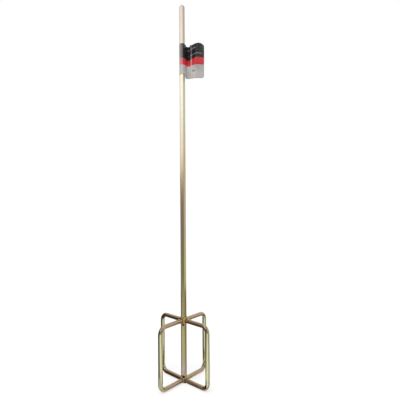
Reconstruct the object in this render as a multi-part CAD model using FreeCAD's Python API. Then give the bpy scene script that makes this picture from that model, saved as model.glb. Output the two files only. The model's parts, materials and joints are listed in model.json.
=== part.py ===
"""Mortar mixing paddle: a hexagonal drill shaft with a welded, plated mixing cage of four bent round bars,
and the folded sales label that is wrapped round the shaft below its tip.

Millimetres. +Z runs up the shaft. The origin is on the shaft's axis, level with the underside of the cage,
so that the paddle stands on z = 0. The four arms of the cage lie along +X, +Y, -X and -Y.
"""
import FreeCAD, Part
import math
import os

Vector = FreeCAD.Vector

# ---- Driving dimensions ---------------------------------------------------------------------------------
OVERALL_LENGTH = 711.0          # underside of the cage to the tip of the shaft, 28 in

HEX_ACROSS_FLATS = 9.525        # 3/8 in hexagonal bar
HEX_EDGE_RADIUS = 0.35          # rounded long edges of the drawn bar
HEX_CORNER_ANGLE = 0.0          # one long edge of the hexagon looks this way, in degrees from +X
GRIP_LENGTH = 40.0              # the stretch of plain hexagon that the chuck's jaws close on
TIP_LENGTH = 4.6                # turned, slightly crowned lead-in that enters the chuck first
TIP_FLAT_DIAMETER = 3.6         # flat left at the very tip
TIP_CROWN = 0.45                # how far the lead-in's profile bulges from a straight taper
FOOT_ROUND = 0.6                # rounded rim of the shaft's lower end
FOOT_RECESS = 0.4               # the shaft's lower end stops this far above the underside of the arms

BAR_DIAMETER = 7.94             # 5/16 in round bar
CAGE_WIDTH = 125.0              # over the bars, nominal 5 in
CAGE_HEIGHT = 119.0             # over the bars
BEND_RADIUS = 12.0              # of the bar's centreline
ARM_ANGLES = (0.0, 90.0, 180.0, 270.0)

WELD_LEG = 2.6                  # fillet leg, along the bar and up the shaft
WELD_BULGE = 0.35               # how far the bead's face stands proud of a flat fillet

LABEL_TOP_BELOW_TIP = 74.8      # from the shaft's tip down to the label's upper edge
LABEL_HEIGHT = 65.2
LABEL_REACH = 41.6              # from the shaft's axis to the flag's outer edge
LABEL_PLY = 0.25                # one thickness of the laminated stock
LABEL_GAP = 0.05                # adhesive between the wrap and the shaft
LABEL_ANGLE = -48.0             # the way the flag points, in degrees from +X
LABEL_SHOULDER_DROP = 1.2       # the flag's upper edge is this much lower than the wrap's
LABEL_NECK_RISE = 7.0           # the lower edge is cut away this much where it goes round the shaft
LABEL_NECK_START = 5.0          # both steps lie between these two distances from the axis
LABEL_NECK_END = 7.4
LABEL_UPPER_CORNER = 3.0        # radius of the flag's upper outer corner
LABEL_LOWER_CORNER = 5.0
LABEL_CURL_TOP = 9.4            # half the depth of the flag's wave, at its upper edge
LABEL_CURL_BOTTOM = 2.6         # and at its lower edge
LABEL_CURL_LEVELS = (0.2, 0.6)  # shares of the height between which the wave deepens
LABEL_VALLEY_TOP = 11.6         # distance from the axis at which the upper edge is furthest back
LABEL_VALLEY_BOTTOM = 13.2
LABEL_CREASE = 15.4             # distance at which an upright crease starts, and the width of its flat strip
LABEL_CREASE_WIDTH = 3.4
LABEL_CREASE_DROP = 0.88        # share of the curl by which the flag comes forward before the crease
LABEL_CREASE_TILT = 0.22        # slope of the strip
LABEL_CREST_TOP = 31.2          # distance at which the upper edge is furthest forward
LABEL_CREST_BOTTOM = 25.6
LABEL_CREST_WIDTH = 9.5         # from the crest to where the wave is level again
LABEL_LOWER_FALL = 0.25         # how much the lower edge falls back past its crest, as a share of the upper
LABEL_FOLD_ROUND = 0.5          # half the width over which a fold is rounded
LABEL_CURVE_POINTS = 41         # points that each curved edge is drawn through

# ---- Sizes that follow ------------------------------------------------------------------------------------
BAR_RADIUS = BAR_DIAMETER / 2
ARM_REACH = CAGE_WIDTH / 2 - BAR_RADIUS             # shaft axis to an arm's upright centreline
LOWER_BAR_Z = BAR_RADIUS
UPPER_BAR_Z = CAGE_HEIGHT - BAR_RADIUS
HEX_INRADIUS = HEX_ACROSS_FLATS / 2
HEX_ANGLE_STEP = 60.0
HALF_STEP = math.radians(HEX_ANGLE_STEP / 2)
LABEL_TOP_Z = OVERALL_LENGTH - LABEL_TOP_BELOW_TIP
LABEL_BOTTOM_Z = LABEL_TOP_Z - LABEL_HEIGHT


def polar(radius, degrees, z=0.0):
    """The point at a radius and an angle from +X."""
    angle = math.radians(degrees)
    return Vector(radius * math.cos(angle), radius * math.sin(angle), z)


def turned(shape, degrees):
    """A copy of the shape, turned about the shaft's axis."""
    copy = shape.copy()
    copy.rotate(Vector(0, 0, 0), Vector(0, 0, 1), degrees)
    return copy


# ---- Hexagonal bar ----------------------------------------------------------------------------------------
def hex_wire(grow, z):
    """The bar's rounded hexagon at height z, with each flat moved outwards by grow."""
    inradius = HEX_INRADIUS + grow
    radius = HEX_EDGE_RADIUS + grow
    corner_centre = (inradius - radius) / math.cos(HALF_STEP)
    edges = []
    for k in range(6):
        middle = HEX_CORNER_ANGLE + k * HEX_ANGLE_STEP
        centre = polar(corner_centre, middle, z)
        first = centre + polar(radius, middle - HEX_ANGLE_STEP / 2)
        top = centre + polar(radius, middle)
        last = centre + polar(radius, middle + HEX_ANGLE_STEP / 2)
        following = polar(corner_centre, middle + HEX_ANGLE_STEP, z)
        following += polar(radius, middle + HEX_ANGLE_STEP / 2)
        edges.append(Part.Arc(first, top, last).toShape())
        edges.append(Part.LineSegment(last, following).toShape())
    return Part.Wire(edges)


def hex_prism(bottom, top, grow=0.0):
    """The hexagonal bar from one height to another."""
    return Part.Face(hex_wire(grow, bottom)).extrude(Vector(0, 0, top - bottom))


def hex_support(degrees):
    """How far the bar reaches from its axis in a direction, which is where a square-cut end lands on it."""
    corner_centre = (HEX_INRADIUS - HEX_EDGE_RADIUS) / math.cos(HALF_STEP)
    turns = [math.radians(degrees - HEX_CORNER_ANGLE - k * HEX_ANGLE_STEP) for k in range(6)]
    return corner_centre * max(math.cos(turn) for turn in turns) + HEX_EDGE_RADIUS


def make_shaft():
    """The hexagonal shaft, with its turned tip and foot. The stretch for the chuck has faces of its own."""
    outer = HEX_INRADIUS / math.cos(HALF_STEP)
    flat = TIP_FLAT_DIAMETER / 2
    foot, tip = FOOT_RECESS, OVERALL_LENGTH
    shoulder = tip - TIP_LENGTH
    straight = Vector(outer - flat, 0, TIP_LENGTH)
    outward = Vector(straight.z, 0, straight.x).normalize()
    crown = Vector((outer + flat) / 2, 0, tip - TIP_LENGTH / 2) + outward * TIP_CROWN
    inset = FOOT_ROUND * (1 - math.sqrt(0.5))
    outline = [
        Part.LineSegment(Vector(0, 0, foot), Vector(outer - FOOT_ROUND, 0, foot)),
        Part.Arc(
            Vector(outer - FOOT_ROUND, 0, foot),
            Vector(outer - inset, 0, foot + inset),
            Vector(outer, 0, foot + FOOT_ROUND),
        ),
        Part.LineSegment(Vector(outer, 0, foot + FOOT_ROUND), Vector(outer, 0, shoulder)),
        Part.Arc(Vector(outer, 0, shoulder), crown, Vector(flat, 0, tip)),
        Part.LineSegment(Vector(flat, 0, tip), Vector(0, 0, tip)),
        Part.LineSegment(Vector(0, 0, tip), Vector(0, 0, foot)),
    ]
    face = Part.Face(Part.Wire([piece.toShape() for piece in outline]))
    turned_blank = face.revolve(Vector(0, 0, 0), Vector(0, 0, 1), 360)
    grip_start = shoulder - GRIP_LENGTH
    bar = hex_prism(foot, grip_start).fuse(hex_prism(grip_start, tip))
    return bar.common(turned_blank)


# ---- Cage -------------------------------------------------------------------------------------------------
def quarter(reach, bottom, top):
    """The quarter round +X that one arm has to itself, between the planes halfway to its neighbours."""
    corners = [Vector(0, 0, bottom), Vector(reach, -reach, bottom), Vector(reach, reach, bottom)]
    return Part.Face(Part.makePolygon(corners + corners[:1])).extrude(Vector(0, 0, top - bottom))


def make_arm(degrees):
    """One C-shaped arm, bent from round bar. Its two ends butt on the shaft and are coped to fit it."""
    seat = HEX_INRADIUS
    straight = ARM_REACH - BEND_RADIUS
    chord = BEND_RADIUS * math.sqrt(0.5)
    upper_bend = Part.Arc(
        Vector(straight, 0, UPPER_BAR_Z),
        Vector(straight + chord, 0, UPPER_BAR_Z - BEND_RADIUS + chord),
        Vector(ARM_REACH, 0, UPPER_BAR_Z - BEND_RADIUS),
    )
    lower_bend = Part.Arc(
        Vector(ARM_REACH, 0, LOWER_BAR_Z + BEND_RADIUS),
        Vector(straight + chord, 0, LOWER_BAR_Z + BEND_RADIUS - chord),
        Vector(straight, 0, LOWER_BAR_Z),
    )
    upper_run = Part.LineSegment(Vector(seat, 0, UPPER_BAR_Z), Vector(straight, 0, UPPER_BAR_Z))
    upright = Part.LineSegment(
        Vector(ARM_REACH, 0, UPPER_BAR_Z - BEND_RADIUS), Vector(ARM_REACH, 0, LOWER_BAR_Z + BEND_RADIUS)
    )
    lower_run = Part.LineSegment(Vector(straight, 0, LOWER_BAR_Z), Vector(seat, 0, LOWER_BAR_Z))
    centreline = Part.Wire([run.toShape() for run in (upper_run, upper_bend, upright, lower_bend, lower_run)])
    section = Part.Face(Part.Wire(Part.makeCircle(BAR_RADIUS, Vector(seat, 0, UPPER_BAR_Z), Vector(1, 0, 0))))
    arm = centreline.makePipe(section).common(quarter(CAGE_WIDTH, 0, CAGE_HEIGHT))
    return turned(arm, degrees).cut(hex_prism(0, CAGE_HEIGHT))


def make_weld(degrees, z):
    """The fillet bead round one arm's end. The lower ones are dressed level with the shaft's foot."""
    seat = hex_support(degrees)
    reach = BAR_RADIUS + WELD_LEG
    bottom, top = max(z - reach, FOOT_RECESS), z + reach
    high, low = Vector(seat, 0, z + reach), Vector(seat + WELD_LEG, 0, z + BAR_RADIUS)
    bulge = (high + low) * 0.5 + Vector(WELD_BULGE, 0, WELD_BULGE)
    outline = [
        Part.LineSegment(Vector(0, 0, z), Vector(0, 0, z + reach)),
        Part.LineSegment(Vector(0, 0, z + reach), high),
        Part.Arc(high, bulge, low),
        Part.LineSegment(low, Vector(seat + WELD_LEG, 0, z)),
        Part.LineSegment(Vector(seat + WELD_LEG, 0, z), Vector(0, 0, z)),
    ]
    face = Part.Face(Part.Wire([piece.toShape() for piece in outline]))
    bead = face.revolve(Vector(0, 0, z), Vector(1, 0, 0), 360)
    bar = Part.makeCylinder(BAR_RADIUS, ARM_REACH, Vector(HEX_INRADIUS, 0, z), Vector(1, 0, 0))
    bead = bead.common(quarter(2 * (seat + reach), bottom, top)).cut(bar)
    return turned(bead, degrees).cut(hex_prism(bottom, top))


# ---- Label ------------------------------------------------------------------------------------------------
def eased(value, low, high):
    """A smooth step from 0 at low to 1 at high."""
    share = min(max((value - low) / (high - low), 0), 1)
    return share * share * (3 - 2 * share)


def wave(distance, up):
    """How far back the flag's middle plane lies at a distance from the axis and a share of the height."""
    curl = LABEL_CURL_BOTTOM + (LABEL_CURL_TOP - LABEL_CURL_BOTTOM) * eased(up, *LABEL_CURL_LEVELS)
    valley = LABEL_VALLEY_BOTTOM + (LABEL_VALLEY_TOP - LABEL_VALLEY_BOTTOM) * up
    crest = LABEL_CREST_BOTTOM + (LABEL_CREST_TOP - LABEL_CREST_BOTTOM) * up
    crease_end = LABEL_CREASE + LABEL_CREASE_WIDTH
    if distance < valley:
        share = max(distance - HEX_INRADIUS, 0) / (valley - HEX_INRADIUS)
        return curl * math.sin(math.pi / 2 * share)
    if distance < LABEL_CREASE:
        share = (distance - valley) / (LABEL_CREASE - valley)
        return curl * (1 - LABEL_CREASE_DROP * share * share)
    at_crease = curl * (1 - LABEL_CREASE_DROP)
    if distance < crease_end:
        return at_crease - LABEL_CREASE_TILT * (distance - LABEL_CREASE)
    at_crease -= LABEL_CREASE_TILT * LABEL_CREASE_WIDTH
    if distance < crest:
        share = (distance - crease_end) / (crest - crease_end)
        return at_crease - (at_crease + curl) * math.sin(math.pi / 2 * share)
    fall = 1 - math.cos(math.pi / 2 * (distance - crest) / LABEL_CREST_WIDTH)
    fall *= LABEL_LOWER_FALL + (1 - LABEL_LOWER_FALL) * up ** 3
    return curl * (fall - 1)


def flag_point(distance, up, side):
    """A point on one face of the flag. Side is -1 in front and 1 behind."""
    near = wave(distance - LABEL_FOLD_ROUND, up)
    far = wave(distance + LABEL_FOLD_ROUND, up)
    back = (near + 2 * wave(distance, up) + far) / 4
    normal = Vector(near - far, 2 * LABEL_FOLD_ROUND, 0).normalize()
    return Vector(distance, back, LABEL_BOTTOM_Z + up * LABEL_HEIGHT) + normal * (side * LABEL_PLY)


def flag_section(up):
    """The closed outline of the two glued plies at a share of the label's height, in the flag's own frame."""
    step = (LABEL_REACH - HEX_INRADIUS) / (LABEL_CURVE_POINTS - 1)
    distances = [HEX_INRADIUS + step * k for k in range(LABEL_CURVE_POINTS)]
    front = [flag_point(distance, up, -1) for distance in distances]
    rear = [flag_point(distance, up, 1) for distance in reversed(distances)]
    curves = []
    for points in (front, rear):
        curve = Part.BSplineCurve()
        curve.interpolate(points)
        curves.append(curve.toShape())
    outer_edge = Part.LineSegment(front[-1], rear[0]).toShape()
    inner_edge = Part.LineSegment(rear[-1], front[0]).toShape()
    return Part.Wire([curves[0], outer_edge, curves[1], inner_edge])


def label_outline():
    """The cut outline of the folded label, seen square on, as a thick block."""
    left, right = -2 * HEX_ACROSS_FLATS, LABEL_REACH + LABEL_PLY
    low, high = LABEL_BOTTOM_Z, LABEL_TOP_Z
    neck, shoulder = low + LABEL_NECK_RISE, high - LABEL_SHOULDER_DROP
    lower, upper = LABEL_LOWER_CORNER, LABEL_UPPER_CORNER
    lower_inset, upper_inset = lower * (1 - math.sqrt(0.5)), upper * (1 - math.sqrt(0.5))
    deep = 2 * max(LABEL_CURL_TOP, LABEL_CURL_BOTTOM) + HEX_ACROSS_FLATS

    def at(distance, z):
        return Vector(distance, -deep, z)

    outline = [
        Part.LineSegment(at(left, neck), at(LABEL_NECK_START, neck)),
        Part.LineSegment(at(LABEL_NECK_START, neck), at(LABEL_NECK_END, low)),
        Part.LineSegment(at(LABEL_NECK_END, low), at(right - lower, low)),
        Part.Arc(at(right - lower, low), at(right - lower_inset, low + lower_inset), at(right, low + lower)),
        Part.LineSegment(at(right, low + lower), at(right, shoulder - upper)),
        Part.Arc(
            at(right, shoulder - upper),
            at(right - upper_inset, shoulder - upper_inset),
            at(right - upper, shoulder),
        ),
        Part.LineSegment(at(right - upper, shoulder), at(LABEL_NECK_END, shoulder)),
        Part.LineSegment(at(LABEL_NECK_END, shoulder), at(LABEL_NECK_START, high)),
        Part.LineSegment(at(LABEL_NECK_START, high), at(left, high)),
        Part.LineSegment(at(left, high), at(left, neck)),
    ]
    return Part.Face(Part.Wire([piece.toShape() for piece in outline])).extrude(Vector(0, 2 * deep, 0))


def make_label():
    """The wrap round the hexagon and the flag of two plies glued face to face, as one folded sheet."""
    sections = [flag_section(up) for up in (0, *LABEL_CURL_LEVELS, 1)]
    flag = turned(Part.makeLoft(sections, True, True), LABEL_ANGLE)
    wrap = hex_prism(LABEL_BOTTOM_Z, LABEL_TOP_Z, LABEL_GAP + LABEL_PLY)
    bore = hex_prism(LABEL_BOTTOM_Z, LABEL_TOP_Z, LABEL_GAP)
    return wrap.fuse(flag).cut(bore).common(turned(label_outline(), LABEL_ANGLE))


# ---- Files ------------------------------------------------------------------------------------------------
def export(name, shape):
    """Writes one piece, after a test that it is one valid closed solid."""
    solids = shape.Solids
    if len(solids) != 1 or not solids[0].isValid() or not solids[0].isClosed():
        raise ValueError(f"{name} isn't one valid closed solid")
    solids[0].exportStep(os.path.join("parts", name + ".step"))
    print(f"{name:16s} {solids[0].Volume:10.1f} mm3")


def main():
    os.makedirs("parts", exist_ok=True)
    export("hex_shaft", make_shaft())
    for number, degrees in enumerate(ARM_ANGLES, start=1):
        export(f"cage_arm_{number}", make_arm(degrees))
        export(f"upper_weld_{number}", make_weld(degrees, UPPER_BAR_Z))
        export(f"lower_weld_{number}", make_weld(degrees, LOWER_BAR_Z))
    export("label", make_label())


main()
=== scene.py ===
"""Looks for a mortar mixing paddle: plated steel, weld beads, a folded label and the studio it stands in.

The file is laid out as an add-on and run as a script. Sizes are in metres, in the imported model's own frame:
+Z up the shaft, the floor at z = 0, and the four arms of the cage along +X, +Y, -X and -Y.
"""

import json
import math

import bmesh
import bpy
from bpy.props import FloatProperty, FloatVectorProperty, IntProperty, PointerProperty
from bpy.types import Operator, Panel, PropertyGroup
from mathutils import Matrix, Vector, noise

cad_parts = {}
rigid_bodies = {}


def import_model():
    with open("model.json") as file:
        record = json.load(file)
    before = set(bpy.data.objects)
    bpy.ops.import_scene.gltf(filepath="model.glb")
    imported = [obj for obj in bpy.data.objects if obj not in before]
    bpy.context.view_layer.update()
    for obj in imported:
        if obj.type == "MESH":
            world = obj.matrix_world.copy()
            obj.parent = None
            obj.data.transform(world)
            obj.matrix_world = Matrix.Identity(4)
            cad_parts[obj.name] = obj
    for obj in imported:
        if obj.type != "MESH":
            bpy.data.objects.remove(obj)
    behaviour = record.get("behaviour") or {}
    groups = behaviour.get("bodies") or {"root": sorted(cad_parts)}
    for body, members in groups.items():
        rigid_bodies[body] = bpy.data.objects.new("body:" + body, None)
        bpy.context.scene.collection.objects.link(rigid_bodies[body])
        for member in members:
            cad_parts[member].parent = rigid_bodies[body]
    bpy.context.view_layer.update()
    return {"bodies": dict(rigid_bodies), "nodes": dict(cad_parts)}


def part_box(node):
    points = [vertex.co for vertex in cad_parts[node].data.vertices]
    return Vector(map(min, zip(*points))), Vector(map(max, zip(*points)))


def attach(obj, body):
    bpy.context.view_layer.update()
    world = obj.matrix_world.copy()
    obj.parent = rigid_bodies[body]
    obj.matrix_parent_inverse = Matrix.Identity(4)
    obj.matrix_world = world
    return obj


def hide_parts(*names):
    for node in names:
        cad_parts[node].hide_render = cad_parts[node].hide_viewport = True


bl_info = {
    "name": "Mortar Mixing Paddle",
    "version": (1, 0, 0),
    "blender": (4, 5, 0),
    "location": "View3D > Sidebar > Paddle",
    "description": "Gives the packed mixing paddle its plating, welds, label and studio",
    "category": "Object",
}

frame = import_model()
BODY = next(iter(frame["bodies"]))

# ---- Sizes taken from the frame ----------------------------------------------
ARM_NUMBERS = (1, 2, 3, 4)
SHAFT_LOW, SHAFT_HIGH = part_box("hex_shaft")
ARM_LOW, ARM_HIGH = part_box("cage_arm_1")
LABEL_LOW, LABEL_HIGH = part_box("label")
HEX_INRADIUS = SHAFT_HIGH[1]                        # half the width across two flats
HEX_OUTRADIUS = HEX_INRADIUS / math.cos(math.pi / 6)
BAR_RADIUS = ARM_HIGH[1]
LOWER_BAR_Z = ARM_LOW[2] + BAR_RADIUS
UPPER_BAR_Z = ARM_HIGH[2] - BAR_RADIUS
WELD_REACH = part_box("upper_weld_1")[1][2] - UPPER_BAR_Z     # from a bar's centreline to the bead's upper toe
WELD_LEG = WELD_REACH - BAR_RADIUS
JOINTS = ((0, 0, LOWER_BAR_Z), (0, 0, UPPER_BAR_Z))
CRATER_BEARING = 7 * math.pi / 6                    # the middle of the shaft's flat between arms 3 and 4
CRATER_X = HEX_INRADIUS * math.cos(CRATER_BEARING)
CRATER_Y = HEX_INRADIUS * math.sin(CRATER_BEARING)
CRATER_PAST_TOE = 0.0008                            # from the bead's toe to the crater's middle
CRATER_OFFSET = WELD_REACH + CRATER_PAST_TOE
CRATERS = (
    (CRATER_X, CRATER_Y, LOWER_BAR_Z + CRATER_OFFSET),
    (CRATER_X, CRATER_Y, UPPER_BAR_Z - CRATER_OFFSET),
)

# ---- Cards round the paddle --------------------------------------------------
# A wall card's bearings in degrees from the camera's side, its heights and its brightness. A card on the
# ground has distances from the shaft instead of heights.
WALL_CARDS = (
    ("top_key_panel", (-40, -10), (1.05, 1.8), 1.5),
    ("high_key_panel", (-40, -10), (0.7, 1.05), 1.75),
    ("key_panel", (-40, -10), (0.43, 0.7), 1.5),
    ("key_edge", (-55, -40), (0.45, 1.8), 0.55),
    ("high_left_flag", (-135, -55), (0.45, 1.8), 0.5),
    ("middle_left_flag", (-135, -40), (0.28, 0.45), 0.2),
    ("low_left_flag", (-135, -40), (0.0, 0.28), 0.1),
    ("rear_left_flag", (-165, -135), (0.0, 0.45), 0.45),
    ("front_flag", (-40, -10), (0.0, 0.43), 0.35),
    ("centre_flag", (-10, 20), (0.25, 1.8), 0.1),
    ("low_centre_flag", (-10, 60), (0.0, 0.25), 0.45),
    ("near_right_panel", (20, 60), (0.25, 1.8), 0.75),
    ("right_panel", (60, 150), (0.0, 1.8), 0.85),
)
GROUND_CARDS = (
    ("left_ground", (-165, -52), (0.003, 0.7), 0.1),
    ("near_left_ground", (-52, -10), (0.003, 0.07), 0.85),
    ("middle_left_ground", (-40, -20), (0.07, 0.35), 0.8),
    ("far_left_ground", (-40, -10), (0.35, 0.7), 0.6),
    ("near_gap_ground", (-52, -40), (0.07, 0.12), 0.9),
    ("gap_ground", (-52, -40), (0.12, 0.7), 0.05),
    ("middle_front_ground", (-20, -10), (0.07, 0.13), 0.7),
    ("far_front_ground", (-20, -10), (0.13, 0.35), 1.3),
    ("front_ground", (-10, 40), (0.06, 0.7), 1.3),
    ("under_ground", (-10, 40), (0.003, 0.06), 0.05),
    ("near_right_ground", (40, 60), (0.003, 0.18), 0.7),
    ("far_right_ground", (40, 60), (0.18, 0.7), 0.35),
    ("right_ground", (60, 90), (0.003, 0.7), 0.75),
    ("side_ground", (90, 120), (0.003, 0.7), 0.3),
)
CARD_LIFT = 0.0006                                  # height of the cards that lie on the floor
LAMP_BEARING = math.radians(160)                    # from the way the camera looks
LAMP_LEAN = 0.45                                    # sideways for each metre up
LAMP_SPREAD = math.radians(40)                      # the angle that the lamp fills

# ---- Shares and small sizes of the label's folds -----------------------------
CREASE_DROP = 0.88                                  # of the curl, from the valley forward to the crease
CREASE_TILT = 0.22                                  # slope of the crease's strip
CREST_WIDTH = 0.23                                  # of the reach, from the crest to where the wave is level
CURL_LEVELS = (0.2, 0.6)                            # of the height, between which the curl deepens
LOWER_FALL = 0.25                                   # of the upper edge's fall past the crest, at the lower
FOLD_ROUND = 0.0005                                 # half the width over which a fold is rounded
DENTED_PAST_JOIN = 0.006                            # from the join to where the dents are at full depth
DENT_FINER = 2.7                                    # how much smaller the second size of dents is
PLIES_APART = 0.55                                  # of a ply, from the flag's middle to the ply's
CORNER_TIGHTNESS = 0.985                            # of a corner's reach, how far out the film goes round it
BRIDGE_PULL = 0.4                                   # of a bridge's length, to each of its handles
BRIDGE_STEP, BRIDGE_TURN = 0.0004, 0.05             # steps that give the film's direction at a bridge's ends
EDGE_WAVER, EDGE_WAVER_WIDTH = 0.0004, 0.006

# ---- Plain bars where the label's print would be -----------------------------
# For each bar, how far past the crease and over the black band's foot its middle is, half its width, half its
# height, and how strongly it is printed.
MARK_SOFTNESS = 0.00025
PALE_MARKS = ((0.0018, 0.0194, 0.0078, 0.0013, 0.35), (0.009, 0.0075, 0.0125, 0.0006, 0.45))
DARK_MARKS = ((0.006, -0.0229, 0.0035, 0.0013, 0.5),)

# ---- Painted highlight and painted reflection on the film --------------------
# Where it starts to change and where it is done, and its strength at the one and the other.
CREASE_HIGHLIGHT = (0.004, 0.02, 0.45, 0.1)              # painted highlight along the crease, up or down from the red band's middle
CREASE_LINE = (0.0006, 0.0022, 1.0, 0.0)            # across the crease's painted highlight
WRAP_REFLECTION = (-0.0035, 0.0032, 0.52, 0.03)           # painted reflection on the wrap, from the shaft's far side towards the flag

# ---- Widths and depths of small marks ----------------------------------------
SCRATCH_WIDTH, SCRATCH_DEPTH = 0.0006, 0.000002
DENT_WIDTH, DENT_DEPTH = 0.006, 0.00003
MOTTLE_WIDTH = 0.0022
STAIN_WIDTH = 0.009
TONE_WANDER, TONE_WANDER_WIDTH = 0.03, 0.02         # how unevenly one tone of the shaft gives way to the next
CRATER_RAGGEDNESS = 0.0015
RING_RAGGEDNESS = 0.004
BROWN_WIDTH = 0.0035
SCALE_WIDTH = 0.0016
BEAD_DULL_WIDTH = 0.002
BEAD_GRAIN_WIDTH, BEAD_GRAIN_DEPTH = 0.0007, 0.00004
BAND_WAVER, BAND_WAVER_WIDTH = 0.0006, 0.004        # how unevenly a band of the label ends
FILM_MARK_WIDTH, FILM_DENT_DEPTH = 0.005, 0.00012
RUB_WIDTH = 0.003

# ---- Levels of a noise between which something comes up ----------------------
NOISE_LEVELS = (0.3, 0.7)                           # nearly all of a noise lies between these
ROSY_LEVELS = (0.5, 0.7)
OLIVE_LEVELS = (0.46, 0.3)
STAIN_LEVELS = (0.62, 0.78)
# The same for marks of one strength everywhere, followed by their strength before and after.
BROWN_MARKS = (0.35, 0.6, 0.0, 0.75)
SCALE_MARKS = (0.6, 0.72, 0.0, 0.7)
HOLLOW_MARKS = (0.5, 0.43, 0.0, 0.8)                # by the bead's own hollows instead of a noise
RUB_MARKS = (0.58, 0.8, 0.0, 0.12)

# ---- Strengths and shares ----------------------------------------------------
ROSINESS = 0.85                                     # of the crossbars
PATCH_STRETCH = (1, 1, 0.45)                        # patches run about twice as far up as across
MOTTLE_TONES = (0.97, 1.02)                         # of the plating's colour, darkest and palest
STAIN_STRENGTH = 0.6                                # of the patchiness
BEAD_PATCHINESS = 0.4
BEAD_ROUGHNESS = (0.06, 0.3)
FILM_ROUGHNESS = (0.14, 0.28)
FLOOR_TONES = (0.97, 1.0)
FLOOR_PATCH = 0.4                                   # width in metres of the floor's paler patches
CRATER_CORE = 0.6                                   # of the crater's radius, dark all over
CRESCENT = 0.9                                      # radians by which a ripple lags at the bead's edges
RIPPLE_MEAN = 0.64                                  # taken off, so that ripples leave the bead as thick
LUMP_FINER = 2.3                                    # how much smaller the second size of lumps is


# ---- Settings ----------------------------------------------------------------
def length(name, description, default, **limits):
    """A size in metres, shown in the scene's unit."""
    return FloatProperty(
        name=name, description=description, default=default, unit="LENGTH", precision=5, **limits
    )


def angle(name, description, default):
    """An angle given in degrees and kept in radians."""
    return FloatProperty(
        name=name, description=description, default=math.radians(default), unit="ROTATION"
    )


def colour(name, description, default):
    """A linear RGB colour."""
    return FloatVectorProperty(
        name=name, description=description, default=default, subtype="COLOR", size=3, min=0, max=1
    )


def share(name, description, default, low=0, high=1):
    """A plain number, from 0 to 1 or between closer limits."""
    return FloatProperty(
        name=name, description=description, default=default, min=low, max=high, subtype="FACTOR"
    )


class PaddlePlating(PropertyGroup):
    blush: colour("Blush", "Pinkish plating at the tip of the shaft", (0.565, 0.47, 0.41))
    # The cream is paler partly as a painted reflection of the bright light above; its hue is the plating's
    # own.
    cream: colour("Cream", "Pale plating on the upper half of the shaft", (0.62, 0.58, 0.44))
    tan: colour("Tan", "Browner plating on the middle of the shaft", (0.54, 0.42, 0.265))
    olive: colour("Olive", "Greener plating on the shaft's lower end", (0.5, 0.455, 0.215))
    sage: colour("Sage", "Green plating on the cage's uprights", (0.54, 0.535, 0.32))
    rose: colour("Rose", "Pink plating on the crossbars and in patches", (0.48, 0.345, 0.25))
    stain: colour("Stain", "Brown film where the plating dried thick", (0.2, 0.145, 0.07))
    pale_top: length("Pale top", "Height up to which the foot of the shaft is pale", 0.014)
    olive_bottom: length("Olive bottom", "Height from which the shaft is olive", 0.055)
    olive_top: length("Olive top", "Height up to which the shaft is olive", 0.237)
    tan_bottom: length("Tan bottom", "Height from which it is tan", 0.268)
    tan_top: length("Tan top", "Height up to which it is tan", 0.385)
    cream_bottom: length("Cream bottom", "Height from which it is cream", 0.5)
    cream_top: length("Cream top", "Height up to which it is cream", 0.57)
    blush_bottom: length("Blush bottom", "Height from which it blushes", 0.66)
    patch_size: length("Patch size", "Usual width of a patch of colour", 0.016)
    rose_reach: length("Rose reach", "How far the rose reaches from a crossbar's centreline", 0.011)
    burnt: colour("Burnt", "Golden brown plating over the steel that the welding heated", (0.46, 0.31, 0.13))
    scale: colour("Scale", "Dark scale that the welding left", (0.05, 0.035, 0.02))
    crater: length("Crater", "Radius of the dark crater beside each joint", 0.0029)
    ring_distance: length("Ring distance", "From a joint's middle to the golden ring round it", 0.0155)
    ring_width: length("Ring width", "From the ring's middle to where it fades out", 0.0045)
    ring_wander: length("Ring wander", "How unevenly the ring runs", 0.008)
    smoothest: share("Smoothest", "Roughness of the brightest plating", 0.14)
    roughest: share("Roughest", "Roughness of the dullest plating", 0.26)
    cage_gloss: share("Cage gloss", "Roughness of the cage as a share of the shaft's", 0.65)


class PaddleWelds(PropertyGroup):
    fullness: share("Fullness", "Bead radius as a share of the fillet's leg", 0.62, 0.3, 0.8)
    standoff: share("Standoff", "Bead centre from the corner as a share of the leg", 0.34, 0, 0.6)
    ripples: IntProperty(name="Ripples", description="Ripples round one bead", default=17, min=4, max=60)
    ripple_depth: share("Ripple depth", "Depth of a ripple as a share of the bead's radius", 0.13)
    lump_depth: share("Lump depth", "Unevenness as a share of the bead's radius", 0.42)
    lump_size: length("Lump size", "Usual width of a lump", 0.0035)


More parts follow.
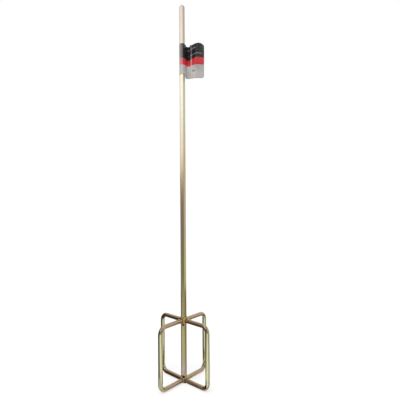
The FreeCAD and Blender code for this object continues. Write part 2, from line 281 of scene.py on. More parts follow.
class PaddleLabel(PropertyGroup):
    bearing: angle("Bearing", "The way the flag points, from +X", -48.0)
    reach: length("Reach", "Shaft axis to the flag's outer edge", 0.0415)
    ply: length("Ply", "Thickness of the printed film", 0.00022)
    slack: length("Slack", "Room between the film and the shaft's corners", 0.00012)
    leave_front: angle("Leave in front", "Where the front ply leaves the shaft, from the bearing", -14.0)
    leave_rear: angle("Leave behind", "Where the rear ply leaves it", 50.0)
    join: length("Join", "Distance from the axis at which the two plies meet", 0.0086)
    shoulder_drop: length("Shoulder drop", "How much lower the flag's upper edge is than the wrap's", 0.0012)
    neck_rise: length("Neck rise", "How much higher the wrap's lower edge is than the flag's", 0.007)
    neck_start: length("Neck start", "Distance at which the edges start down", 0.0046)
    neck_end: length("Neck end", "Distance at which they are down", 0.0072)
    upper_corner: length("Upper corner", "Radius of the flag's upper outer corner", 0.003)
    lower_corner: length("Lower corner", "Radius of the flag's lower outer corner", 0.0048)
    valley_top: length("Valley at the top", "Distance where the upper edge is furthest back", 0.012)
    valley_bottom: length("Valley at the bottom", "Distance where the lower edge is furthest back", 0.0132)
    crease: length("Crease", "Distance at which the upright crease starts", 0.0158)
    crease_width: length("Crease width", "Width of the crease's flat strip", 0.0034)
    crest_top: length("Crest at the top", "Distance where the upper edge is furthest forward", 0.0312)
    crest_bottom: length("Crest at the bottom", "Distance where the lower edge is furthest forward", 0.0256)
    curl_top: length("Curl at the top", "Half the depth of the wave at the upper edge", 0.0094)
    curl_bottom: length("Curl at the bottom", "Half the depth of the wave at the lower edge", 0.0026)
    crumple: length("Crumple", "Depth of the small dents in the film", 0.0004)
    crumple_size: length("Crumple size", "Usual width of a dent", 0.009)
    black_band: length("Black band", "Height of the black band at the top", 0.0279)
    red_band: length("Red band", "Height of the red band", 0.0124)
    black: colour("Black", "The top band", (0.008, 0.007, 0.008))
    red: colour("Red", "The middle band", (0.8, 0.04, 0.055))
    grey: colour("Grey", "The bottom band", (0.6, 0.575, 0.555))
    # Pale tint of the print's plain bars and the rubbed wear, and of the crease's painted highlight and the
    # wrap's painted reflection.
    haze_and_sheen: colour("Haze", "What the band colours fade towards on the shaft", (0.52, 0.49, 0.45))
    # Painted shade in the fold beside the shaft, and where it lies.
    painted_fold_shade: share("Fold shade", "How much darker the film is in the fold beside the shaft", 0.28)
    fold_middle: length("Fold middle", "Distance at which it is darkest", 0.0085)
    fold_half: length("Fold half width", "Half the width of the dark strip", 0.0055)


class PaddleStudio(PropertyGroup):
    floor_radius: length("Floor radius", "Radius of the floor", 14.0)
    floor_colour: colour("Floor", "The floor under the light", (0.36, 0.36, 0.36))
    floor_glow: share("Floor glow", "How much paler the floor looks than it is lit", 0.62)
    ambient: FloatProperty(name="Ambient", description="Light from all round", default=0.75, min=0)
    overhead: FloatProperty(name="Overhead", description="Soft lamp from above, in W/m2", default=1.7, min=0)
    cards: FloatProperty(name="Cards", description="Brightness of all the cards", default=1.0, min=0)
    card_distance: length("Card distance", "Shaft to the standing cards", 0.7)
    dark_below: share("Dark below", "Cards darker than this are brown", 0.3)
    dark_card: colour("Dark card", "Tint of the dark cards", (1.0, 0.8, 0.55))
    camera_distance: length("Camera distance", "Shaft to camera, along the view", 0.6501)
    camera_side: length("Camera side", "Camera to the right of the shaft", 0.03215)
    camera_height: length("Camera height", "Camera above the floor", 0.3343)
    camera_bearing: angle("Camera bearing", "The way the camera looks, from +X", 41.95)
    camera_tilt: angle("Camera tilt", "How far it looks up", 0.565)
    camera_roll: angle("Camera roll", "How far it is rolled", -0.373)
    lens: FloatProperty(name="Lens", description="Focal length in mm on a 36 mm sensor", default=30.98, min=1)


# ---- Shader nodes ------------------------------------------------------------
class Shader:
    """A material's or the world's node tree, with a short way to add and join nodes."""

    def __init__(self, owner):
        owner.use_nodes = True
        self.tree = owner.node_tree
        self.tree.nodes.clear()

    def add(self, kind, inputs=None, **settings):
        """Adds a node. An input's value may be a number, a colour or another node's output."""
        made = self.tree.nodes.new(kind)
        for name, value in settings.items():
            setattr(made, name, value)
        for name, value in (inputs or {}).items():
            if isinstance(value, bpy.types.NodeSocket):
                self.tree.links.new(value, made.inputs[name])
            else:
                made.inputs[name].default_value = value
        return made

    def math(self, operation, *values, clamp=False):
        """The result of a Math node."""
        made = self.add("ShaderNodeMath", dict(enumerate(values)), operation=operation, use_clamp=clamp)
        return made.outputs[0]

    def ease(self, value, low, high, start=0.0, end=1.0):
        """A smooth step of value, from start at low to end at high."""
        inputs = {"Value": value, "From Min": low, "From Max": high, "To Min": start, "To Max": end}
        return self.add("ShaderNodeMapRange", inputs, interpolation_type="SMOOTHSTEP").outputs[0]

    def mix(self, share_of_second, first, second, blend="MIX"):
        """Two colours mixed."""
        made = self.add("ShaderNodeMix", data_type="RGBA", blend_type=blend)
        for index, value in ((0, share_of_second), (6, first), (7, second)):
            socket = made.inputs[index]
            if isinstance(value, bpy.types.NodeSocket):
                self.tree.links.new(value, socket)
            else:
                socket.default_value = value
        return made.outputs[2]

    def ramp(self, value, stops):
        """A colour that runs through stops, each a value and its colour, from the lowest to the highest."""
        low, high = stops[0][0], stops[-1][0]
        part = self.math("DIVIDE", self.math("SUBTRACT", value, low), high - low, clamp=True)
        made = self.add("ShaderNodeValToRGB", {"Fac": part})
        elements = made.color_ramp.elements
        while len(elements) < len(stops):
            elements.new(0.5)
        for element, (at, rgb) in zip(elements, stops):
            element.position = (at - low) / (high - low)
            element.color = opaque(rgb)
        return made.outputs["Color"]

    def place(self, stretch=(1, 1, 1)):
        """The point on the surface in the object's own frame, stretched."""
        point = self.add("ShaderNodeTexCoord").outputs["Object"]
        return self.add("ShaderNodeMapping", {"Vector": point, "Scale": stretch}).outputs[0]

    def height(self):
        """The height above the floor."""
        return self.add("ShaderNodeSeparateXYZ", {"Vector": self.place()}).outputs["Z"]

    def cloud(self, size, detail=2.0, stretch=(1, 1, 1), distortion=0.0, roughness=0.5):
        """A noise from 0 to 1 whose features are about size metres wide."""
        inputs = {
            "Vector": self.place(stretch), "Scale": 0.5 / size, "Detail": detail,
            "Roughness": roughness, "Distortion": distortion,
        }
        return self.add("ShaderNodeTexNoise", inputs).outputs[0]

    def spread(self, low, high, size, detail=2.0, **shape):
        """A noise that runs from low to high."""
        return self.ease(self.cloud(size, detail, **shape), *NOISE_LEVELS, low, high)

    def wander(self, size, depth, detail=2.0):
        """A noise round 0 whose two ends are depth apart."""
        return self.math("MULTIPLY", self.math("SUBTRACT", self.cloud(size, detail), 0.5), depth)

    def away(self, value, middle):
        """How far a value is from a middle."""
        return self.math("ABSOLUTE", self.math("SUBTRACT", value, middle))

    def patch(self, across, across_middle, across_half, up, up_middle, up_half, soft):
        """1 inside an oblong and 0 outside, from its middle and its half sizes, with a soft edge."""
        inside_across = self.ease(self.away(across, across_middle), across_half, across_half + soft, 1.0, 0.0)
        inside_up = self.ease(self.away(up, up_middle), up_half, up_half + soft, 1.0, 0.0)
        return self.math("MULTIPLY", inside_across, inside_up)

    def bump(self, height, depth, under=None):
        """A normal bumped by height, depth metres deep."""
        inputs = {"Height": height, "Distance": depth, "Strength": 1.0}
        if under is not None:
            inputs["Normal"] = under
        return self.add("ShaderNodeBump", inputs).outputs[0]

    def finish(self, shader, kind="ShaderNodeOutputMaterial"):
        """Joins a shader to the output."""
        self.add(kind, {"Surface": shader})


def opaque(rgb):
    """A colour with its alpha."""
    return (*rgb, 1.0)


def new_material(name):
    """An empty material with its node tree."""
    material = bpy.data.materials.new(name)
    return material, Shader(material)


def nearer(nodes, points):
    """The distance to the nearer of two points."""
    distances = []
    for point in points:
        ends = {0: nodes.place(), 1: point}
        distances.append(nodes.add("ShaderNodeVectorMath", ends, operation="DISTANCE").outputs["Value"])
    return nodes.math("MINIMUM", *distances)


def cratered(nodes, plate, metal):
    """Metal with a dark, uneven crater beside each of the two joints."""
    away = nodes.math("ADD", nearer(nodes, CRATERS), nodes.wander(CRATER_RAGGEDNESS, plate.crater))
    dark = nodes.ease(away, plate.crater * CRATER_CORE, plate.crater, 1.0, 0.0)
    return nodes.mix(dark, metal, opaque(plate.scale))


def near_crossbars(nodes, reach):
    """1 at the heights of the crossbars, falling to 0 above and below them."""
    shares = []
    for z in (LOWER_BAR_Z, UPPER_BAR_Z):
        shares.append(nodes.ease(nodes.away(nodes.height(), z), reach * 0.5, reach, 1.0, 0.0))
    return nodes.math("MAXIMUM", *shares)


def shaft_tone(nodes, plate):
    """The plating's colour up the shaft; its pale cream upper half is partly a painted reflection."""
    stops = (
        (plate.pale_top, plate.blush), (plate.olive_bottom, plate.olive), (plate.olive_top, plate.olive),
        (plate.tan_bottom, plate.tan), (plate.tan_top, plate.tan),
        (plate.cream_bottom, plate.cream), (plate.cream_top, plate.cream), (plate.blush_bottom, plate.blush),
    )
    level = nodes.math("ADD", nodes.height(), nodes.wander(TONE_WANDER_WIDTH, TONE_WANDER))
    return nodes.ramp(level, stops)


def cage_tone(nodes, plate):
    """The plating's colour on the cage: green uprights and rosy crossbars."""
    rosy = near_crossbars(nodes, plate.rose_reach)
    return nodes.mix(nodes.math("MULTIPLY", rosy, ROSINESS), opaque(plate.sage), opaque(plate.rose))


def mottled(nodes, plate, tone, patchiness):
    """A tone of the plating with rosy and olive patches, a fine mottle and a few stains."""
    patches = nodes.cloud(plate.patch_size, 3, stretch=PATCH_STRETCH, distortion=0.7)
    metal = nodes.mix(nodes.ease(patches, *ROSY_LEVELS, 0.0, patchiness), tone, opaque(plate.rose))
    metal = nodes.mix(nodes.ease(patches, *OLIVE_LEVELS, 0.0, patchiness), metal, opaque(plate.olive))
    mottle = nodes.spread(*MOTTLE_TONES, MOTTLE_WIDTH, 5, roughness=0.65)
    grey = nodes.add("ShaderNodeCombineColor", {"Red": mottle, "Green": mottle, "Blue": mottle}).outputs[0]
    metal = nodes.mix(1.0, metal, grey, "MULTIPLY")
    stains = nodes.cloud(STAIN_WIDTH, 4, distortion=1.2)
    stained = nodes.ease(stains, *STAIN_LEVELS, 0.0, STAIN_STRENGTH * patchiness)
    return nodes.mix(stained, metal, opaque(plate.stain))


def heat_tinted(nodes, plate, metal, strength):
    """Metal that the welding coloured: rosy next to the joints, then a golden brown ring."""
    away = nodes.math("ADD", nearer(nodes, JOINTS), nodes.wander(RING_RAGGEDNESS, plate.ring_wander, 3))
    inside = nodes.ease(away, plate.ring_distance - 2 * plate.ring_width, plate.ring_distance, strength, 0.0)
    metal = nodes.mix(inside, metal, opaque(plate.rose))
    ring = nodes.ease(nodes.away(away, plate.ring_distance), 0.0, plate.ring_width, strength, 0.0)
    return nodes.mix(ring, metal, opaque(plate.burnt))


def plated_steel(name, plate, tone, drawn, gloss, patchiness, heat):
    """The plated bar.

    Tone colours it, drawn is how much longer its marks run along Z than across, gloss scales its roughness,
    and patchiness and heat are the strengths of its patches and of its heat tint.
    """
    material, nodes = new_material(name)
    metal = mottled(nodes, plate, tone(nodes, plate), patchiness)
    metal = cratered(nodes, plate, heat_tinted(nodes, plate, metal, heat))
    lengthways = (1, 1, 1 / drawn)
    rough = nodes.spread(gloss * plate.smoothest, gloss * plate.roughest, DENT_WIDTH, 4, stretch=lengthways)
    scratches = nodes.bump(nodes.cloud(SCRATCH_WIDTH, 3, lengthways), SCRATCH_DEPTH)
    dents = nodes.bump(nodes.cloud(DENT_WIDTH, 1, lengthways), DENT_DEPTH, scratches)
    shader = nodes.add(
        "ShaderNodeBsdfPrincipled",
        {"Base Color": metal, "Metallic": 1.0, "Roughness": rough, "Normal": dents},
    )
    nodes.finish(shader.outputs[0])
    return material


def weld_metal(name, plate):
    """Plated weld metal: browner and lumpier than the bar, with dark scale between its ripples."""
    material, nodes = new_material(name)
    metal = mottled(nodes, plate, opaque(plate.tan), BEAD_PATCHINESS)
    brown = nodes.ease(nodes.cloud(BROWN_WIDTH, 3), *BROWN_MARKS)
    metal = nodes.mix(brown, metal, opaque(plate.burnt))
    hollow = nodes.add("ShaderNodeNewGeometry").outputs["Pointiness"]
    metal = nodes.mix(nodes.ease(hollow, *HOLLOW_MARKS), metal, opaque(plate.scale))
    scale = nodes.ease(nodes.cloud(SCALE_WIDTH, 4, distortion=0.5), *SCALE_MARKS)
    metal = cratered(nodes, plate, nodes.mix(scale, metal, opaque(plate.scale)))
    rough = nodes.spread(*BEAD_ROUGHNESS, BEAD_DULL_WIDTH, 4)
    grain = nodes.bump(nodes.cloud(BEAD_GRAIN_WIDTH, 3), BEAD_GRAIN_DEPTH)
    shader = nodes.add(
        "ShaderNodeBsdfPrincipled",
        {"Base Color": metal, "Metallic": 1.0, "Roughness": rough, "Normal": grain},
    )
    nodes.finish(shader.outputs[0])
    return material


def printed_film(name, label):
    """Glossy film in three plain bands, with plain bars where print would be.

    It is paler round the shaft's far side, a painted reflection of the bright light, darker in the fold beside
    the shaft, a painted shade, and paler along its crease, a painted highlight.
    """
    material, nodes = new_material(name)
    level = nodes.math("ADD", nodes.height(), nodes.wander(BAND_WAVER_WIDTH, BAND_WAVER))
    flag_way = {0: nodes.place(), 1: (math.cos(label.bearing), math.sin(label.bearing), 0)}
    distance = nodes.add("ShaderNodeVectorMath", flag_way, operation="DOT_PRODUCT").outputs["Value"]
    black_foot = LABEL_HIGH[2] - label.black_band
    red_foot = black_foot - label.red_band
    ink = opaque(label.grey)
    for foot, rgb in ((red_foot, label.red), (black_foot, label.black)):
        ink = nodes.mix(nodes.ease(level, foot - MARK_SOFTNESS, foot + MARK_SOFTNESS), ink, opaque(rgb))
    for marks, rgb in ((PALE_MARKS, label.haze_and_sheen), (DARK_MARKS, label.black)):
        for out, up, half_width, half_height, strength in marks:
            middle = (label.crease + out, half_width, level, black_foot + up, half_height, MARK_SOFTNESS)
            mark = nodes.math("MULTIPLY", nodes.patch(distance, *middle), strength)
            ink = nodes.mix(mark, ink, opaque(rgb))
    # Painted shade: the film is darkened in the fold beside the shaft, where shade falls.
    shade = nodes.ease(nodes.away(distance, label.fold_middle), 0.0, label.fold_half, label.painted_fold_shade, 0.0)
    ink = nodes.mix(shade, ink, opaque(label.black))
    # Painted highlight: a pale line along the crease, strongest in the red band.
    sharp = nodes.ease(nodes.away(level, (black_foot + red_foot) / 2), *CREASE_HIGHLIGHT)
    folded = nodes.ease(nodes.away(distance, label.crease + label.crease_width / 3), *CREASE_LINE)
    rubbed = nodes.ease(nodes.cloud(RUB_WIDTH, 5, distortion=0.8, roughness=0.7), *RUB_MARKS)
    # Pale mixes: the crease's painted highlight, the wrap's painted reflection and the rubbed wear.
    for sheen_and_rub in (nodes.math("MULTIPLY", sharp, folded), nodes.ease(distance, *WRAP_REFLECTION), rubbed):
        ink = nodes.mix(sheen_and_rub, ink, opaque(label.haze_and_sheen))
    rough = nodes.spread(*FILM_ROUGHNESS, FILM_MARK_WIDTH, 4)
    dents = nodes.bump(nodes.cloud(FILM_MARK_WIDTH, 1, distortion=0.3), FILM_DENT_DEPTH)
    shader = nodes.add(
        "ShaderNodeBsdfPrincipled", {"Base Color": ink, "Roughness": rough, "Normal": dents, "IOR": 1.45}
    )
    nodes.finish(shader.outputs[0])
    return material


# ---- Meshes ------------------------------------------------------------------
def mesh_object(name, bm, material):
    """A new smooth-shaded object from a bmesh."""
    mesh = bpy.data.meshes.new(name)
    bm.to_mesh(mesh)
    bm.free()
    mesh.polygons.foreach_set("use_smooth", [True] * len(mesh.polygons))
    mesh.materials.append(material)
    made = bpy.data.objects.new(name, mesh)
    bpy.context.scene.collection.objects.link(made)
    return made


def skin(bm, rows, closed_across, closed_along):
    """Faces between rows of vertices."""
    pairs = list(zip(rows, rows[1:]))
    if closed_along:
        pairs.append((rows[-1], rows[0]))
    for row, following in pairs:
        count = len(row)
        for k in range(count if closed_across else count - 1):
            after = (k + 1) % count
            bm.faces.new((row[k], row[after], following[after], following[k]))


def cover(node_name, material):
    """Gives a CAD node a finish without touching its shape."""
    node = frame["nodes"][node_name]
    node.data.materials.clear()
    node.data.materials.append(material)


def hex_reach(lateral, corner_first):
    """How far the hexagon reaches along an arm, at a distance to one side of the arm's centreline."""
    side = abs(lateral)
    half_flat = HEX_OUTRADIUS / 2
    if corner_first:
        return HEX_OUTRADIUS - side * math.tan(math.pi / 6)
    return HEX_INRADIUS - max(side - half_flat, 0.0) * math.tan(math.pi / 3)


def lumps(place, finer):
    """An unevenness of two sizes, the second finer than the first."""
    return noise.noise(place) + 0.5 * noise.noise(place * finer)


def weld_bead(name, number, joint_z, welds, material):
    """One rippled bead that runs round an arm's end where it meets the shaft."""
    around, across = 170, 26
    turn = (number - 1) * math.pi / 2
    along = Vector((math.cos(turn), math.sin(turn), 0))
    sideways = Vector((-math.sin(turn), math.cos(turn), 0))
    corner_first = number % 2 == 1
    standoff = welds.standoff * WELD_LEG
    radius = welds.fullness * WELD_LEG
    lowest = SHAFT_LOW[2]
    bm = bmesh.new()
    rows = []
    for i in range(around):
        round_arm = 2 * math.pi * i / around
        side, rise = math.cos(round_arm), math.sin(round_arm)
        distance = hex_reach(BAR_RADIUS * side, corner_first)
        centre = along * (distance + standoff) + sideways * (side * (BAR_RADIUS + standoff))
        centre.z = joint_z + rise * (BAR_RADIUS + standoff)
        outward = sideways * side + Vector((0, 0, rise))
        row = []
        for j in range(across):
            round_bead = 2 * math.pi * j / across
            direction = outward * math.cos(round_bead) + along * math.sin(round_bead)
            crescent = CRESCENT * math.sin(round_bead - math.pi / 4)
            ripple = abs(math.sin(welds.ripples * round_arm / 2 + crescent))
            place = centre + direction * radius
            lump = lumps(place / welds.lump_size, LUMP_FINER)
            swell = 1 + welds.ripple_depth * (ripple - RIPPLE_MEAN) + welds.lump_depth * lump
            place = centre + direction * (radius * swell)
            place.z = max(place.z, lowest)
            row.append(bm.verts.new(place))
        rows.append(row)
    skin(bm, rows, True, True)
    bmesh.ops.recalc_face_normals(bm, faces=bm.faces)
    return mesh_object(name, bm, material)


# ---- Label -------------------------------------------------------------------
def smooth(value, low, high):
    """A smooth step from 0 at low to 1 at high."""
    share_up = min(max((value - low) / (high - low), 0), 1)
    return share_up * share_up * (3 - 2 * share_up)


def flag_wave(distance, up, label):
    """How far back the flag lies at a distance from the shaft's axis and a share of the label's height."""
    curl = label.curl_bottom + (label.curl_top - label.curl_bottom) * smooth(up, *CURL_LEVELS)
    valley = label.valley_bottom + (label.valley_top - label.valley_bottom) * up
    crest = label.crest_bottom + (label.crest_top - label.crest_bottom) * up
    crease_end = label.crease + label.crease_width
    if distance < valley:
        share_out = max(distance - HEX_INRADIUS, 0) / (valley - HEX_INRADIUS)
        return curl * math.sin(math.pi / 2 * share_out)
    if distance < label.crease:
        share_out = (distance - valley) / (label.crease - valley)
        return curl * (1 - CREASE_DROP * share_out * share_out)
    at_crease = curl * (1 - CREASE_DROP)
    if distance < crease_end:
        return at_crease - CREASE_TILT * (distance - label.crease)
    at_crease -= CREASE_TILT * label.crease_width
    if distance < crest:
        share_out = (distance - crease_end) / (crest - crease_end)
        return at_crease - (at_crease + curl) * math.sin(math.pi / 2 * share_out)
    fall = 1 - math.cos(math.pi / 2 * (distance - crest) / (CREST_WIDTH * label.reach))
    return curl * (fall * (LOWER_FALL + (1 - LOWER_FALL) * up ** 3) - 1)


def flag_point(distance, z, side, label):
    """A point on one ply of the flag, with its dents. Side is -1 in front and 1 behind."""
    up = (z - LABEL_LOW[2]) / (LABEL_HIGH[2] - LABEL_LOW[2])
    near, far = distance - FOLD_ROUND, distance + FOLD_ROUND
    back_near, back_far = flag_wave(near, up, label), flag_wave(far, up, label)
    back = (back_near + 2 * flag_wave(distance, up, label) + back_far) / 4
    normal = Vector((back_near - back_far, far - near, 0)).normalized()
    where = Vector((distance, 0, z)) / label.crumple_size
    loose = min(max((distance - label.join) / DENTED_PAST_JOIN, 0), 1)
    dent = label.crumple * loose * lumps(where, DENT_FINER)
    return Vector((distance, back, z)) + normal * (dent + side * label.ply * PLIES_APART)


def wrap_point(round_shaft, z, label):
    """A point on the film pulled tight over the hexagon's corners."""
    inner = HEX_INRADIUS + label.slack
    to_flat = (round_shaft + label.bearing - math.pi / 6) % (math.pi / 3)
    from_middle = min(to_flat, math.pi / 3 - to_flat)
    flat = inner / math.cos(from_middle)
    corner = inner / math.cos(math.pi / 6) * CORNER_TIGHTNESS
    reach = min(flat, corner) + label.ply / 2
    return Vector((reach * math.cos(round_shaft), reach * math.sin(round_shaft), z))


def cubic(start, leaving, arriving, end, t):
    """A point on a cubic Bezier curve."""
    s = 1 - t
    return start * s ** 3 + leaving * (3 * s * s * t) + arriving * (3 * s * t * t) + end * t ** 3


def bridge_point(t, z, side, label):
    """A point between the flag and the wrap, where the film comes away from the shaft."""
    leave = label.leave_front if side < 0 else label.leave_rear
    start = flag_point(label.join, z, side, label)
    before = flag_point(label.join + BRIDGE_STEP, z, side, label)
    end = wrap_point(leave, z, label)
    after = wrap_point(leave + side * BRIDGE_TURN, z, label)
    handle = (end - start).length * BRIDGE_PULL
    leaving = start + (start - before).normalized() * handle
    arriving = end + (end - after).normalized() * handle
    return cubic(start, leaving, arriving, end, t)


def label_columns(label):
    """The film's columns in order: in along the front ply, round the shaft and out along the rear ply."""
    straight, rounded, bridge, wrap = 70, 10, 10, 72
    corner = max(label.upper_corner, label.lower_corner)
    last = label.reach - corner
    stations = [label.join + (last - label.join) * k / straight for k in range(straight + 1)]
    stations += [last + corner * math.sin(math.pi / 2 * k / rounded) for k in range(1, rounded + 1)]
    shares = [k / bridge for k in range(1, bridge)]
    way_round = 2 * math.pi - (label.leave_rear - label.leave_front)
    turns = [label.leave_front - way_round * k / wrap for k in range(wrap + 1)]
    columns = [("flag", distance, -1) for distance in reversed(stations)]
    columns += [("bridge", t, -1) for t in shares]
    columns += [("wrap", turn, 0) for turn in turns]
    columns += [("bridge", t, 1) for t in reversed(shares)]
    columns += [("flag", distance, 1) for distance in stations]
    return columns


def label_point(column, z, label):
    """The point of a column at a height, before the label is turned to its bearing."""
    kind, value, side = column
    if kind == "flag":
        return flag_point(value, z, side, label)
    if kind == "bridge":
        return bridge_point(value, z, side, label)
    return wrap_point(value, z, label)


def corner_cut(distance, radius, label):
    """How much a rounded outer corner takes off the flag's height at a distance from the axis."""
    share_in = min(max(distance - (label.reach - radius), 0) / radius, 1)
    return radius * (1 - math.sqrt(1 - share_in * share_in))


def label_edges(distance, label):
    """The label's lower and upper edge at a distance from the shaft's axis."""
    share_down = smooth(distance, label.neck_start, label.neck_end)
    waver = abs(EDGE_WAVER * noise.noise(Vector((distance / EDGE_WAVER_WIDTH, 0, 4))))
    lower = LABEL_LOW[2] + label.neck_rise * (1 - share_down) + waver
    upper = LABEL_HIGH[2] - label.shoulder_drop * share_down - waver
    lower += corner_cut(distance, label.lower_corner, label)
    upper -= corner_cut(distance, label.upper_corner, label)
    return lower, upper


def label_sheet(label, material):
    """The whole label as one folded sheet, and the width that it was cut to."""
    rows = 64
    columns = label_columns(label)
    middle_z = (LABEL_LOW[2] + LABEL_HIGH[2]) / 2
    middle = [label_point(column, middle_z, label) for column in columns]
    edges = [label_edges(max(point.x, 0), label) for point in middle]
    turn = Matrix.Rotation(label.bearing, 3, "Z")
    bm = bmesh.new()
    lines = []
    for i in range(rows + 1):
        line = []
        for column, (lower, upper) in zip(columns, edges):
            z = lower + (upper - lower) * i / rows
            line.append(bm.verts.new(turn @ label_point(column, z, label)))
        lines.append(line)
    skin(bm, lines, False, False)
    bmesh.ops.recalc_face_normals(bm, faces=bm.faces)
    width = sum((after - before).length for before, after in zip(middle, middle[1:]))
    return mesh_object("label_film", bm, material), width


# ---- Operators ---------------------------------------------------------------
class PADDLE_OT_shaft(Operator):
    """Give the hexagonal shaft its drawn and plated finish"""
    bl_idname = "paddle.shaft"
    bl_label = "Finish the shaft"

    def execute(self, context):
        plate = context.scene.paddle_plating
        finish = {"drawn": 14, "gloss": 1.0, "patchiness": 0.25, "heat": 0.25}
        material = plated_steel("plated_shaft", plate, shaft_tone, **finish)
        cover("hex_shaft", material)
        return {"FINISHED"}


class PADDLE_OT_cage(Operator):
    """Give the four bent arms of the cage their plated finish"""
    bl_idname = "paddle.cage"
    bl_label = "Finish the cage"

    def execute(self, context):
        plate = context.scene.paddle_plating
        finish = {"drawn": 1, "gloss": plate.cage_gloss, "patchiness": 0.5, "heat": 0.75}
        material = plated_steel("plated_arms", plate, cage_tone, **finish)
        for number in ARM_NUMBERS:
            cover(f"cage_arm_{number}", material)
        return {"FINISHED"}


class PADDLE_OT_welds(Operator):
    """Lay a rippled weld bead round each arm's end"""
    bl_idname = "paddle.welds"
    bl_label = "Lay the welds"

    def execute(self, context):
        welds = context.scene.paddle_welds
        material = weld_metal("plated_weld", context.scene.paddle_plating)
        for level, joint_z in (("upper", UPPER_BAR_Z), ("lower", LOWER_BAR_Z)):
            for number in ARM_NUMBERS:
                bead = weld_bead(f"{level}_bead_{number}", number, joint_z, welds, material)
                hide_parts(f"{level}_weld_{number}")
                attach(bead, BODY)
        return {"FINISHED"}


class PADDLE_OT_label(Operator):
    """Wrap the printed label round the shaft and glue the rest of it to itself as a flag"""
    bl_idname = "paddle.label"
    bl_label = "Wrap the label"

    def execute(self, context):
        label = context.scene.paddle_label
        sheet, width = label_sheet(label, printed_film("printed_film", label))
        solid = sheet.modifiers.new("ply", "SOLIDIFY")
        solid.thickness = label.ply
        solid.offset = 0
        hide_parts("label")
        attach(sheet, BODY)
        return {"FINISHED"}


class PADDLE_OT_studio(Operator):
    """Set up the pale floor, the soft light, the reflector cards and the camera"""
    bl_idname = "paddle.studio"
    bl_label = "Set up the studio"

    def execute(self, context):
        studio = context.scene.paddle_studio
        context.scene.view_settings.view_transform = "Standard"
        lay_floor(studio)
        light_world(context.scene, studio)
        hang_lamp(studio)
        set_cards(studio)
        stand_camera(context.scene, studio)
        return {"FINISHED"}


# ---- Studio ------------------------------------------------------------------
def seen_directly(nodes):
    """1 for what the camera sees, straight or in gloss or glass, and 0 for light that falls on things."""
    path = nodes.add("ShaderNodeLightPath").outputs
    seen = nodes.math("MAXIMUM", path["Is Camera Ray"], path["Is Glossy Ray"])
    return nodes.math("MAXIMUM", seen, path["Is Transmission Ray"])


def lay_floor(studio):
    """A wide pale floor that looks white and still takes the object's soft shadow."""
    bm = bmesh.new()
    bmesh.ops.create_circle(bm, cap_ends=True, segments=96, radius=studio.floor_radius)
    material, nodes = new_material("pale_floor")
    tint = nodes.spread(*FLOOR_TONES, FLOOR_PATCH, 4)
    diffuse = nodes.add("ShaderNodeBsdfDiffuse", {"Color": opaque(studio.floor_colour)})
    strength = nodes.math("MULTIPLY", seen_directly(nodes), nodes.math("MULTIPLY", tint, studio.floor_glow))
    glow = nodes.add("ShaderNodeEmission", {"Color": (1, 1, 1, 1), "Strength": strength})
    both = nodes.add("ShaderNodeAddShader", {0: diffuse.outputs[0], 1: glow.outputs[0]})
    nodes.finish(both.outputs[0])
    mesh_object("floor", bm, material)


def light_world(scene, studio):
    """White all round for what is seen, and a plain level of light for what it falls on."""
    world = bpy.data.worlds.new("studio")
    scene.world = world
    nodes = Shader(world)
    lit = nodes.add("ShaderNodeBackground", {"Color": (1, 1, 1, 1), "Strength": studio.ambient})
    seen = nodes.add("ShaderNodeBackground", {"Color": (1, 1, 1, 1), "Strength": 1.0})
    share_seen = seen_directly(nodes)
    both = nodes.add("ShaderNodeMixShader", {0: share_seen, 1: lit.outputs[0], 2: seen.outputs[0]})
    nodes.finish(both.outputs[0], "ShaderNodeOutputWorld")


def hang_lamp(studio):
    """One broad soft lamp overhead."""
    lamp = bpy.data.lights.new("overhead", "SUN")
    lamp.energy = studio.overhead
    lamp.angle = LAMP_SPREAD
    made = bpy.data.objects.new("overhead", lamp)
    bpy.context.scene.collection.objects.link(made)
    bearing = studio.camera_bearing + LAMP_BEARING
    towards = Vector((LAMP_LEAN * math.cos(bearing), LAMP_LEAN * math.sin(bearing), 1))
    made.rotation_euler = towards.to_track_quat("Z", "Y").to_euler()
    made.visible_glossy = False


def reflector_card(name, bearings, inside, outside, brightness, studio):
    """A curved card that only gloss sees. It runs round the shaft between two bearings, in degrees.

    Bearings are counted from the camera's side, positive to its right. Inside and outside are the distance
    from the shaft and the height of the card's two long edges. A brightness under 1 is darker than the white
    all round, and over 1 brighter. The darkest cards are brown, as a wooden floor or an unlit corner is.
    """
    steps = 24
    bm = bmesh.new()
    rows = []
    for radius, z in (inside, outside):
        row = []
        for k in range(steps + 1):
            turn = math.radians(bearings[0] + (bearings[1] - bearings[0]) * k / steps)
            bearing = studio.camera_bearing + math.pi + turn
            row.append(bm.verts.new((radius * math.cos(bearing), radius * math.sin(bearing), z)))
        rows.append(row)
    skin(bm, rows, False, False)
    material, nodes = new_material(name)
    tint = studio.dark_card if brightness < studio.dark_below else (1, 1, 1)
    glow = nodes.add("ShaderNodeEmission", {"Color": opaque(tint), "Strength": brightness * studio.cards})
    nodes.finish(glow.outputs[0])
    card = mesh_object(name, bm, material)
    card.visible_camera = card.visible_diffuse = card.visible_shadow = card.visible_transmission = False


def set_cards(studio):
    """The standing cards and the ones on the floor, which the plating mirrors."""
    for name, bearings, heights, brightness in WALL_CARDS:
        inside, outside = [(studio.card_distance, z) for z in heights]
        reflector_card(name, bearings, inside, outside, brightness, studio)
    for name, bearings, radii, brightness in GROUND_CARDS:
        inside, outside = [(radius, CARD_LIFT) for radius in radii]
        reflector_card(name, bearings, inside, outside, brightness, studio)


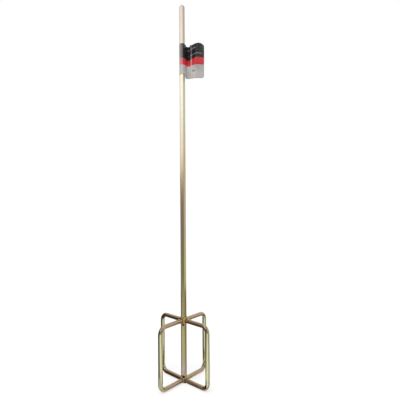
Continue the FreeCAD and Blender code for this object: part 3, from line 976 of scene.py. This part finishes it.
def stand_camera(scene, studio):
    """A camera level with the middle of the paddle, facing between two arms of the cage."""
    look, tilt, roll = studio.camera_bearing, studio.camera_tilt, studio.camera_roll
    level = Vector((math.cos(look), math.sin(look), 0))
    forward = level * math.cos(tilt) + Vector((0, 0, math.sin(tilt)))
    right = Vector((math.sin(look), -math.cos(look), 0))
    up = right.cross(forward)
    across = right * math.cos(roll) + up * math.sin(roll)
    upward = up * math.cos(roll) - right * math.sin(roll)
    place = right * studio.camera_side - level * studio.camera_distance + Vector((0, 0, studio.camera_height))
    data = bpy.data.cameras.new("camera")
    data.sensor_width = 36.0
    data.lens = studio.lens
    data.clip_start, data.clip_end = 0.01, 100.0
    camera = bpy.data.objects.new("camera", data)
    scene.collection.objects.link(camera)
    turn = Matrix((across, upward, -forward)).transposed()
    camera.matrix_world = Matrix.Translation(place) @ turn.to_4x4()
    scene.camera = camera


# ---- Panel and registration --------------------------------------------------
class PADDLE_PT_tools(Panel):
    """The paddle's pieces and its studio"""
    bl_idname = "PADDLE_PT_tools"
    bl_label = "Mortar mixing paddle"
    bl_space_type = "VIEW_3D"
    bl_region_type = "UI"
    bl_category = "Paddle"

    def draw(self, context):
        scene = context.scene
        for settings, operators in (
            (scene.paddle_plating, ("paddle.shaft", "paddle.cage")),
            (scene.paddle_welds, ("paddle.welds",)),
            (scene.paddle_label, ("paddle.label",)),
            (scene.paddle_studio, ("paddle.studio",)),
        ):
            box = self.layout.box()
            for name in settings.__annotations__:
                box.prop(settings, name)
            for operator in operators:
                box.operator(operator)


SETTINGS = {
    "paddle_plating": PaddlePlating, "paddle_welds": PaddleWelds,
    "paddle_label": PaddleLabel, "paddle_studio": PaddleStudio,
}
CLASSES = (
    *SETTINGS.values(), PADDLE_OT_shaft, PADDLE_OT_cage, PADDLE_OT_welds, PADDLE_OT_label, PADDLE_OT_studio,
    PADDLE_PT_tools,
)


def register():
    for cls in CLASSES:
        bpy.utils.register_class(cls)
    for name, settings in SETTINGS.items():
        setattr(bpy.types.Scene, name, PointerProperty(type=settings))


def unregister():
    for name in SETTINGS:
        delattr(bpy.types.Scene, name)
    for cls in reversed(CLASSES):
        bpy.utils.unregister_class(cls)


def main():
    """Makes everything in order."""
    register()
    bpy.ops.paddle.studio()
    bpy.ops.paddle.shaft()
    bpy.ops.paddle.cage()
    bpy.ops.paddle.welds()
    bpy.ops.paddle.label()


if __name__ == "__main__":
    main()
